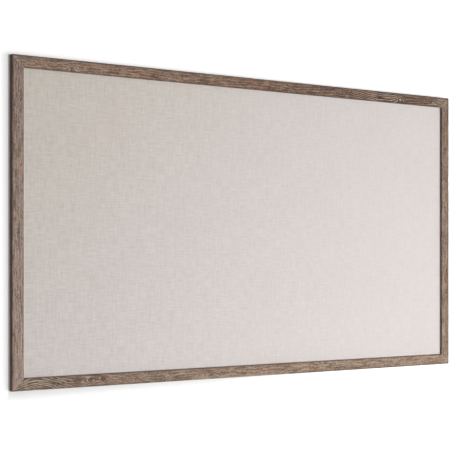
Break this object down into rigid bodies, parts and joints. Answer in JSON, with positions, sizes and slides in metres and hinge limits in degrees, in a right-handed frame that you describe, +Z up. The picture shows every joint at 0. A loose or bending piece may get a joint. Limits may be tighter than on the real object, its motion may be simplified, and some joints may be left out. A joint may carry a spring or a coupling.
{
  "type": "bulletin board",
  "caption": "Wide linen-covered pinboard: a cork panel set back in a mitred weathered-oak frame, hung close to the wall by strap hangers and rings.",
  "frame": {"origin": "on the wall, midway between the two points where the wall's hooks carry the rings", "axes": "+X to the right of someone facing the board, +Y into the wall, +Z up"},
  "size_m": [1.676, 0.02, 0.914],
  "materials": {
    "weathered_oak": "matte",
    "natural_linen": "matte",
    "cork": "matte",
    "hardboard": "matte",
    "zinc_plated_steel": "satin",
    "black_rubber": "matte"
  },
  "bodies": {
    "board": {"frame_rail_top": "weathered_oak", "frame_rail_bottom": "weathered_oak", "frame_stile_left": "weathered_oak", "frame_stile_right": "weathered_oak", "linen_cover": "natural_linen", "cork_sheet": "cork", "backer_board": "hardboard", "v_nail_bottom_left_1": "zinc_plated_steel", "v_nail_bottom_left_2": "zinc_plated_steel", "v_nail_bottom_right_1": "zinc_plated_steel", "v_nail_bottom_right_2": "zinc_plated_steel", "v_nail_top_left_1": "zinc_plated_steel", "v_nail_top_left_2": "zinc_plated_steel", "v_nail_top_right_1": "zinc_plated_steel", "v_nail_top_right_2": "zinc_plated_steel", "framers_point_rail_bottom_1": "zinc_plated_steel", "framers_point_rail_bottom_2": "zinc_plated_steel", "framers_point_rail_bottom_3": "zinc_plated_steel", "framers_point_rail_bottom_4": "zinc_plated_steel", "framers_point_rail_bottom_5": "zinc_plated_steel", "framers_point_rail_top_1": "zinc_plated_steel", "framers_point_rail_top_2": "zinc_plated_steel", "framers_point_rail_top_3": "zinc_plated_steel", "framers_point_rail_top_4": "zinc_plated_steel", "framers_point_rail_top_5": "zinc_plated_steel", "framers_point_stile_left_1": "zinc_plated_steel", "framers_point_stile_left_2": "zinc_plated_steel", "framers_point_stile_left_3": "zinc_plated_steel", "framers_point_stile_right_1": "zinc_plated_steel", "framers_point_stile_right_2": "zinc_plated_steel", "framers_point_stile_right_3": "zinc_plated_steel", "hanger_strap_left": "zinc_plated_steel", "hanger_strap_right": "zinc_plated_steel", "hanger_screw_left_1": "zinc_plated_steel", "hanger_screw_left_2": "zinc_plated_steel", "hanger_screw_right_1": "zinc_plated_steel", "hanger_screw_right_2": "zinc_plated_steel", "wall_bumper_top_left": "black_rubber", "wall_bumper_top_right": "black_rubber", "wall_bumper_bottom_left": "black_rubber", "wall_bumper_bottom_right": "black_rubber"},
    "ring_left": {"hanger_ring_left": "zinc_plated_steel"},
    "ring_right": {"hanger_ring_right": "zinc_plated_steel"}
  },
  "joints": [
    {"name": "ring_left_swing", "type": "hinge", "parent": "board", "child": "ring_left", "pos_m": [-0.82425, -0.002, -0.01198], "axis": [-1, 0, 0], "range_deg": [0, 180]},
    {"name": "ring_right_swing", "type": "hinge", "parent": "board", "child": "ring_right", "pos_m": [0.82425, -0.002, -0.01198], "axis": [-1, 0, 0], "range_deg": [0, 180]}
  ]
}
